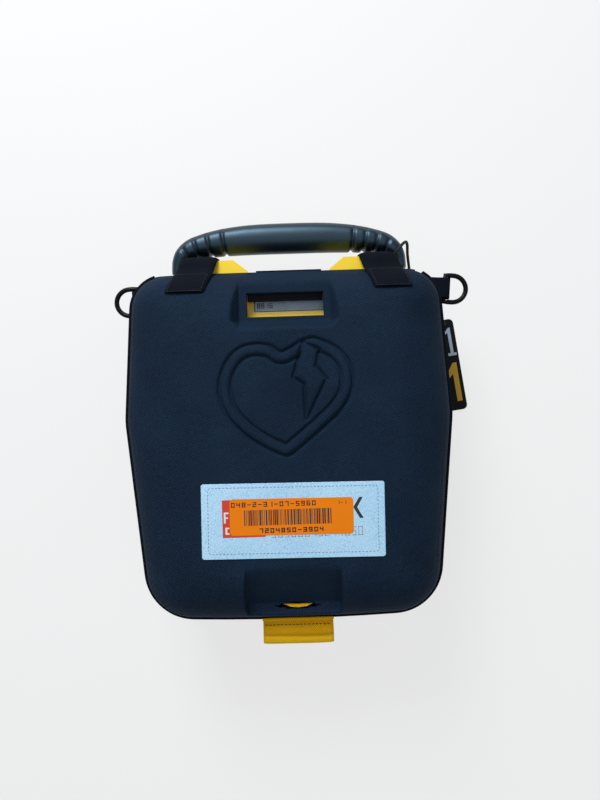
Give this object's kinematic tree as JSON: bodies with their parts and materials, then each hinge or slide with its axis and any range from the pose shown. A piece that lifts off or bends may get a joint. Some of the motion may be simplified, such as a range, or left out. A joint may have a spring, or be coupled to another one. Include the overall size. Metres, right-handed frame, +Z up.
{
  "type": "automated external defibrillator in carry case",
  "caption": "Portable automated defibrillator lying in a moulded clamshell fabric carry case, with ribbed carry handle, hinged lid, status window, webbing hinges and D-rings.",
  "frame": {"origin": "middle of the flat back face that the case rests on", "axes": "+X right, +Y towards the carry handle, +Z up through the thickness, from the back face to the cover front"},
  "size_m": [0.2801, 0.306, 0.12],
  "materials": {
    "case_back_shell": "moulded twill-faced foam",
    "back_binding": "woven nylon tape",
    "case_front_cover": "moulded twill-faced foam",
    "cover_binding": "woven nylon tape",
    "case_foam_pad": "closed-cell foam",
    "label_patch": "reflective film",
    "asset_sticker": "printed sticker",
    "closure_flap": "woven nylon webbing",
    "pull_tab": "woven nylon webbing",
    "closure_hook": "hook and loop tape",
    "closure_loop": "hook and loop tape",
    "hinge_strap_left": "woven nylon tape",
    "hinge_strap_right": "woven nylon tape",
    "ring_tab_left": "woven nylon tape",
    "ring_tab_right": "woven nylon tape",
    "d_ring_left": "smooth acetal",
    "d_ring_right": "smooth acetal",
    "hang_tag": "printed card",
    "tag_cord": "braided cord",
    "aed_base_shell": "fine-textured moulding",
    "aed_deck": "fine-textured moulding",
    "aed_lid": "fine-textured moulding",
    "lid_gasket": "smooth rubber",
    "lid_pin_left": "turned",
    "lid_pin_right": "turned",
    "on_button": "moulded",
    "on_spring": "turned",
    "lid_latch": "moulded",
    "shock_button": "moulded",
    "shock_spring": "turned",
    "display_lens": "clear polycarbonate",
    "display_lcd": "liquid crystal panel",
    "infrared_window": "tinted",
    "speaker": "moulded",
    "electrode_pouch": "foil laminate",
    "pouch_pull": "moulded",
    "electrode_plug": "moulded",
    "electrode_lead": "soft jacket",
    "connector_socket": "moulded",
    "quick_card": "laminated card",
    "board_standoffs": "turned",
    "main_board": "glass-fibre board",
    "hv_capacitor": "sleeved can",
    "battery_pack": "shrink-wrapped",
    "charge_cartridge": "moulded",
    "transformer": "ferrite and winding",
    "discharge_module": "finned",
    "base_screws": "turned",
    "handle_grip": "smooth rubber",
    "handle_core": "turned",
    "handle_pins": "turned"
  },
  "bodies": {
    "case_and_device": {"case_back_shell": "case_back_shell", "back_binding": "back_binding", "case_foam_pad": "case_foam_pad", "closure_loop": "closure_loop", "hinge_strap_left": "hinge_strap_left", "hinge_strap_right": "hinge_strap_right", "ring_tab_left": "ring_tab_left", "ring_tab_right": "ring_tab_right", "hang_tag": "hang_tag", "tag_cord": "tag_cord", "aed_base_shell": "aed_base_shell", "aed_deck": "aed_deck", "lid_pin_left": "lid_pin_left", "lid_pin_right": "lid_pin_right", "on_spring": "on_spring", "shock_spring": "shock_spring", "display_lens": "display_lens", "display_lcd": "display_lcd", "infrared_window": "infrared_window", "speaker": "speaker", "electrode_pouch": "electrode_pouch", "pouch_pull": "pouch_pull", "electrode_plug": "electrode_plug", "electrode_lead": "electrode_lead", "connector_socket": "connector_socket", "board_standoffs": "board_standoffs", "main_board": "main_board", "hv_capacitor": "hv_capacitor", "battery_pack": "battery_pack", "charge_cartridge": "charge_cartridge", "transformer": "transformer", "discharge_module": "discharge_module", "base_screws": "base_screws", "handle_grip": "handle_grip", "handle_core": "handle_core", "handle_pins": "handle_pins"},
    "cover": {"case_front_cover": "case_front_cover", "cover_binding": "cover_binding", "label_patch": "label_patch", "asset_sticker": "asset_sticker", "closure_flap": "closure_flap", "pull_tab": "pull_tab", "closure_hook": "closure_hook"},
    "lid": {"aed_lid": "aed_lid", "quick_card": "quick_card", "lid_gasket": "lid_gasket"},
    "on_button_body": {"on_button": "on_button"},
    "latch_body": {"lid_latch": "lid_latch"},
    "shock_button_body": {"shock_button": "shock_button"},
    "ring_left_body": {"d_ring_left": "d_ring_left"},
    "ring_right_body": {"d_ring_right": "d_ring_right"}
  },
  "joints": [
    {"name": "cover_hinge", "type": "hinge", "parent": "case_and_device", "child": "cover", "pos_m": [0, 0.124, 0.09], "axis": [-1, 0, 0], "range_deg": [0, 100], "deforming": ["hinge_strap_left", "hinge_strap_right"]},
    {"name": "lid_hinge", "type": "hinge", "parent": "case_and_device", "child": "lid", "pos_m": [0.003, 0.073, 0.1035], "axis": [-1, 0, 0], "range_deg": [0, 90]},
    {"name": "on_button_press", "type": "slide", "parent": "case_and_device", "child": "on_button_body", "axis": [0, 0, -1], "range_m": [0, 0.002], "stiffness_N_per_m": 600, "deforming": ["on_spring"]},
    {"name": "latch_slide", "type": "slide", "parent": "case_and_device", "child": "latch_body", "axis": [0, -1, 0], "range_m": [0, 0.002]},
    {"name": "shock_button_press", "type": "slide", "parent": "case_and_device", "child": "shock_button_body", "axis": [0, 0, -1], "range_m": [0, 0.002], "stiffness_N_per_m": 600, "deforming": ["shock_spring"]},
    {"name": "ring_left_swing", "type": "hinge", "parent": "case_and_device", "child": "ring_left_body", "pos_m": [-0.1115, 0.1085, 0.062], "axis": [0.0523, -0.9986, 0], "range_deg": [-60, 60]},
    {"name": "ring_right_swing", "type": "hinge", "parent": "case_and_device", "child": "ring_right_body", "pos_m": [0.1195, 0.1115, 0.062], "axis": [0.0872, 0.9962, 0], "range_deg": [-60, 60]}
  ],
  "couplings": [
    {"joint": "lid_hinge", "follows": "cover_hinge", "ratio": 0.9},
    {"joint": "latch_slide", "follows": "on_button_press", "ratio": 1}
  ]
}
